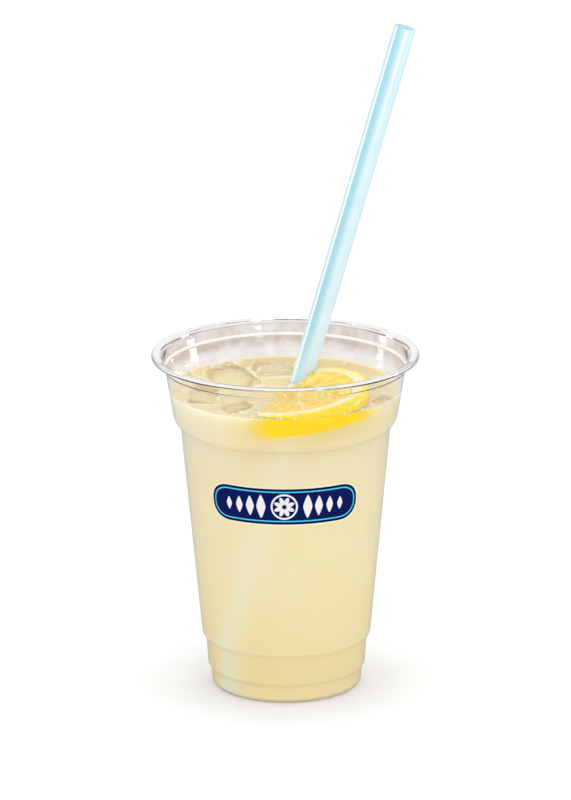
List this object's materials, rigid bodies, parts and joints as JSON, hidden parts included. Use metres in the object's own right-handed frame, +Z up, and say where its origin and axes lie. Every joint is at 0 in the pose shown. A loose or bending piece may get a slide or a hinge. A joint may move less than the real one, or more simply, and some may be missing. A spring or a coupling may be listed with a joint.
{
  "type": "cup of lemonade",
  "caption": "Clear plastic cup of cloudy iced lemonade, with a cut lemon wheel floating in it and a pale blue drinking straw.",
  "frame": {"origin": "middle of the cup's foot, on the surface that it stands on", "axes": "+Z up along the cup's axis; -Y is the front, with the printed band; the straw leans towards +X"},
  "size_m": [0.098, 0.098, 0.2471],
  "materials": {
    "cup": "clear thin plastic, glossy",
    "drink": "cloudy liquid",
    "lemon": "wet fruit",
    "straw": "satin"
  },
  "bodies": {
    "root": {"cup": "cup", "drink": "drink", "lemon_slice": "lemon", "straw": "straw"}
  },
  "joints": []
}
